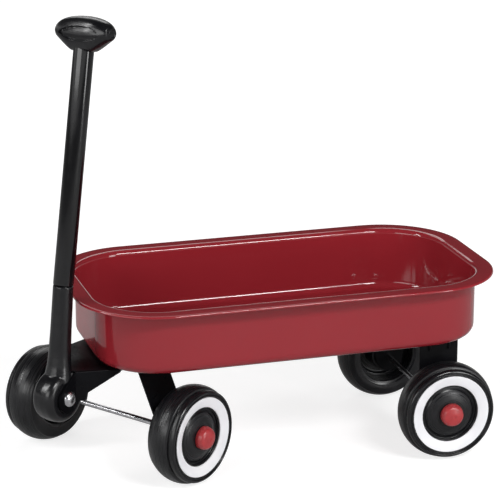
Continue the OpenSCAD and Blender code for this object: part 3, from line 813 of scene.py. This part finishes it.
def make_grip():
    """Crosswise grip with an almond dish on each face, and a flat-topped cap at each end."""
    half = GRIP_L / 2 - GRIP_CAP_L
    rows, around = 170, 200
    verts = []
    for i in range(rows + 1):
        w = -half + 2 * half * i / rows
        verts += [grip_point(w, 2 * pi * k / around) for k in range(around)]
    faces = []
    for i in range(rows):
        for k in range(around):
            a, b = i * around + k, i * around + (k + 1) % around
            faces.append((a, b, b + around, a + around))
    faces.append(list(range(around))[::-1])
    faces.append([rows * around + k for k in range(around)])
    mesh = mesh_from("handle_grip_shape", verts, faces)
    grip = finish_mesh("handle_grip_shape", mesh, grip_frame, 50)
    dress(grip, "handle_black", "handle", "handle_grip")
    caps = []
    face, dimple = half + GRIP_CAP_L - 0.02, half + GRIP_CAP_L - 0.4
    for side in (1, -1):
        profile = [(0, half - 0.5), (GRIP_SHOULDER_R - 0.3, half - 0.5)]
        profile += rounded([
            (GRIP_SHOULDER_R - 0.05, half), (GRIP_END_R, face, 0.25), (GRIP_END_R - 1.1, face, 0.2),
            (GRIP_END_R - 1.5, dimple, 0.2), (0, dimple),
        ], steps=5)
        cap = revolved("grip_end_cap", profile, 64)
        cap.transform(Matrix.Rotation(-side * pi / 2, 4, "X"))
        name = "grip_end_cap_" + ("left" if side > 0 else "right")
        caps.append(finish_mesh(name, cap, grip_frame))
        dress(caps[-1], "handle_black", "handle")
    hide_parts("grip_end_caps")


# ---------------------------------------------------------------- kept CAD nodes

def dress_kept_nodes():
    """CAD nodes whose shape is right keep it and get their slot's material."""
    slots = {s["node"]: s["material_slot"] for s in frame["record"]["subparts"]}
    for name, node in frame["nodes"].items():
        node.data.materials.clear()
        node.data.materials.append(MATERIALS[slots[name]])


# ---------------------------------------------------------------- stage, light and camera

FLOOR_COLOUR = 0.45
FLOOR_GLOW = 0.76  # what the camera sees of the floor's own light near the wagon
FLOOR_GLOW_NEAR, FLOOR_GLOW_FAR = 0.3, 0.9  # metres, between which it rises to white
FLOOR_MIRRORED = 0.12  # the floor's own light as metal and gloss see it
BACKDROP_TOP = 0.1
STUDIO = 0.06

# Turn from +Y towards +X and rise in degrees, distance, width and height in metres, power in watts
LAMPS = {
    "key": (-18, 38, 1.5, 0.45, 0.26, 11.5),
    "low_softbox": (60, 18, 1.5, 1.2, 0.5, 8),
    "front_softbox": (92, 32, 1.3, 0.14, 0.6, 4.5),
    "rear_softbox": (-34, 13, 1.4, 0.3, 0.78, 7),
    "back_fill": (186, 40, 1.7, 1.0, 0.7, 6),
}
LAMP_TARGET_Z = 0.1

CAMERA_YAW = radians(17.07)
CAMERA_PITCH = radians(16.92)
CAMERA_PLACE = Vector((tray_x + 475.3, 1484.1, 624.2)) * MM
CAMERA_LENS = 157.8


def make_stage():
    """Pale floor that reads as white away from the wagon and keeps the wagon's soft shadow."""
    bpy.ops.mesh.primitive_plane_add(size=14)
    floor = bpy.context.object
    floor.name = "floor"
    material, tree, shader = new_material("pale_floor", Roughness=0.9)
    shader.inputs["Base Color"].default_value = (FLOOR_COLOUR, FLOOR_COLOUR, FLOOR_COLOUR, 1)
    shader.inputs["Specular IOR Level"].default_value = 0.0
    shader.inputs["Emission Color"].default_value = (1, 1, 1, 1)
    place = add_node(tree, "ShaderNodeTexCoord")
    far = add_node(tree, "ShaderNodeVectorMath", operation="LENGTH")
    tree.links.new(place.outputs["Object"], far.inputs[0])
    glow = add_node(tree, "ShaderNodeMapRange")
    glow.inputs["From Min"].default_value = FLOOR_GLOW_NEAR
    glow.inputs["From Max"].default_value = FLOOR_GLOW_FAR
    glow.inputs["To Min"].default_value = FLOOR_GLOW
    glow.inputs["To Max"].default_value = 1.0
    tree.links.new(far.outputs["Value"], glow.inputs["Value"])
    path = add_node(tree, "ShaderNodeLightPath")
    mirrored = add_node(tree, "ShaderNodeMath", operation="MAXIMUM")
    tree.links.new(path.outputs["Is Glossy Ray"], mirrored.inputs[0])
    tree.links.new(path.outputs["Is Transmission Ray"], mirrored.inputs[1])
    dimmed = add_node(tree, "ShaderNodeMath", operation="MULTIPLY")
    dimmed.inputs[1].default_value = FLOOR_MIRRORED
    tree.links.new(mirrored.outputs["Value"], dimmed.inputs[0])
    shown = add_node(tree, "ShaderNodeMath", operation="MULTIPLY_ADD")
    tree.links.new(path.outputs["Is Camera Ray"], shown.inputs[0])
    tree.links.new(glow.outputs["Result"], shown.inputs[1])
    tree.links.new(dimmed.outputs["Value"], shown.inputs[2])
    tree.links.new(shown.outputs["Value"], shader.inputs["Emission Strength"])
    floor.data.materials.append(material)


def make_world():
    """White up to a little above the horizon, like a low backdrop, and a dark studio above that."""
    world = bpy.data.worlds.new("studio")
    bpy.context.scene.world = world
    world.use_nodes = True
    tree = world.node_tree
    place = add_node(tree, "ShaderNodeTexCoord")
    split = add_node(tree, "ShaderNodeSeparateXYZ")
    ramp = add_node(tree, "ShaderNodeValToRGB")
    ramp.color_ramp.elements[0].position = BACKDROP_TOP
    ramp.color_ramp.elements[0].color = (1, 1, 1, 1)
    ramp.color_ramp.elements[1].position = BACKDROP_TOP + 0.05
    ramp.color_ramp.elements[1].color = (STUDIO, STUDIO, STUDIO, 1)
    tree.links.new(place.outputs["Generated"], split.inputs["Vector"])
    tree.links.new(split.outputs["Z"], ramp.inputs["Fac"])
    tree.links.new(ramp.outputs["Color"], tree.nodes["Background"].inputs["Color"])


def add_softbox(name, turn, rise, distance, width, height, power):
    """Rectangular lamp that faces the wagon, at an angle from +Y towards +X and a height angle."""
    turn, rise = radians(turn), radians(rise)
    lamp = bpy.data.lights.new(name, "AREA")
    lamp.shape = "RECTANGLE"
    lamp.size, lamp.size_y = width, height
    lamp.energy = power
    box = bpy.data.objects.new(name, lamp)
    away = Vector((sin(turn) * cos(rise), cos(turn) * cos(rise), sin(rise)))
    box.location = away * distance + Vector((0, 0, LAMP_TARGET_Z))
    box.rotation_euler = away.to_track_quat("Z", "Y").to_euler()
    bpy.context.scene.collection.objects.link(box)


def make_camera():
    """Long lens at the wagon's left, a little ahead of it and above it."""
    level = cos(CAMERA_PITCH)
    back = Vector((sin(CAMERA_YAW) * level, cos(CAMERA_YAW) * level, sin(CAMERA_PITCH)))
    right = Vector((0, 0, 1)).cross(back).normalized()
    up = back.cross(right)
    data = bpy.data.cameras.new("camera")
    data.sensor_width = 36
    data.lens = CAMERA_LENS
    camera = bpy.data.objects.new("camera", data)
    bpy.context.scene.collection.objects.link(camera)
    turn = Matrix((right, up, back)).transposed().to_4x4()
    camera.matrix_world = Matrix.Translation(CAMERA_PLACE) @ turn
    bpy.context.scene.camera = camera


dress_kept_nodes()
make_tray()
make_wheels()
make_axles()
make_handle_rivet()
make_rear_bracket()
make_front_bolster()
make_yoke()
make_tube()
make_grip()
make_stage()
make_world()
for lamp_name, lamp_settings in LAMPS.items():
    add_softbox(lamp_name, *lamp_settings)
make_camera()
bpy.context.scene.view_settings.view_transform = "Standard"
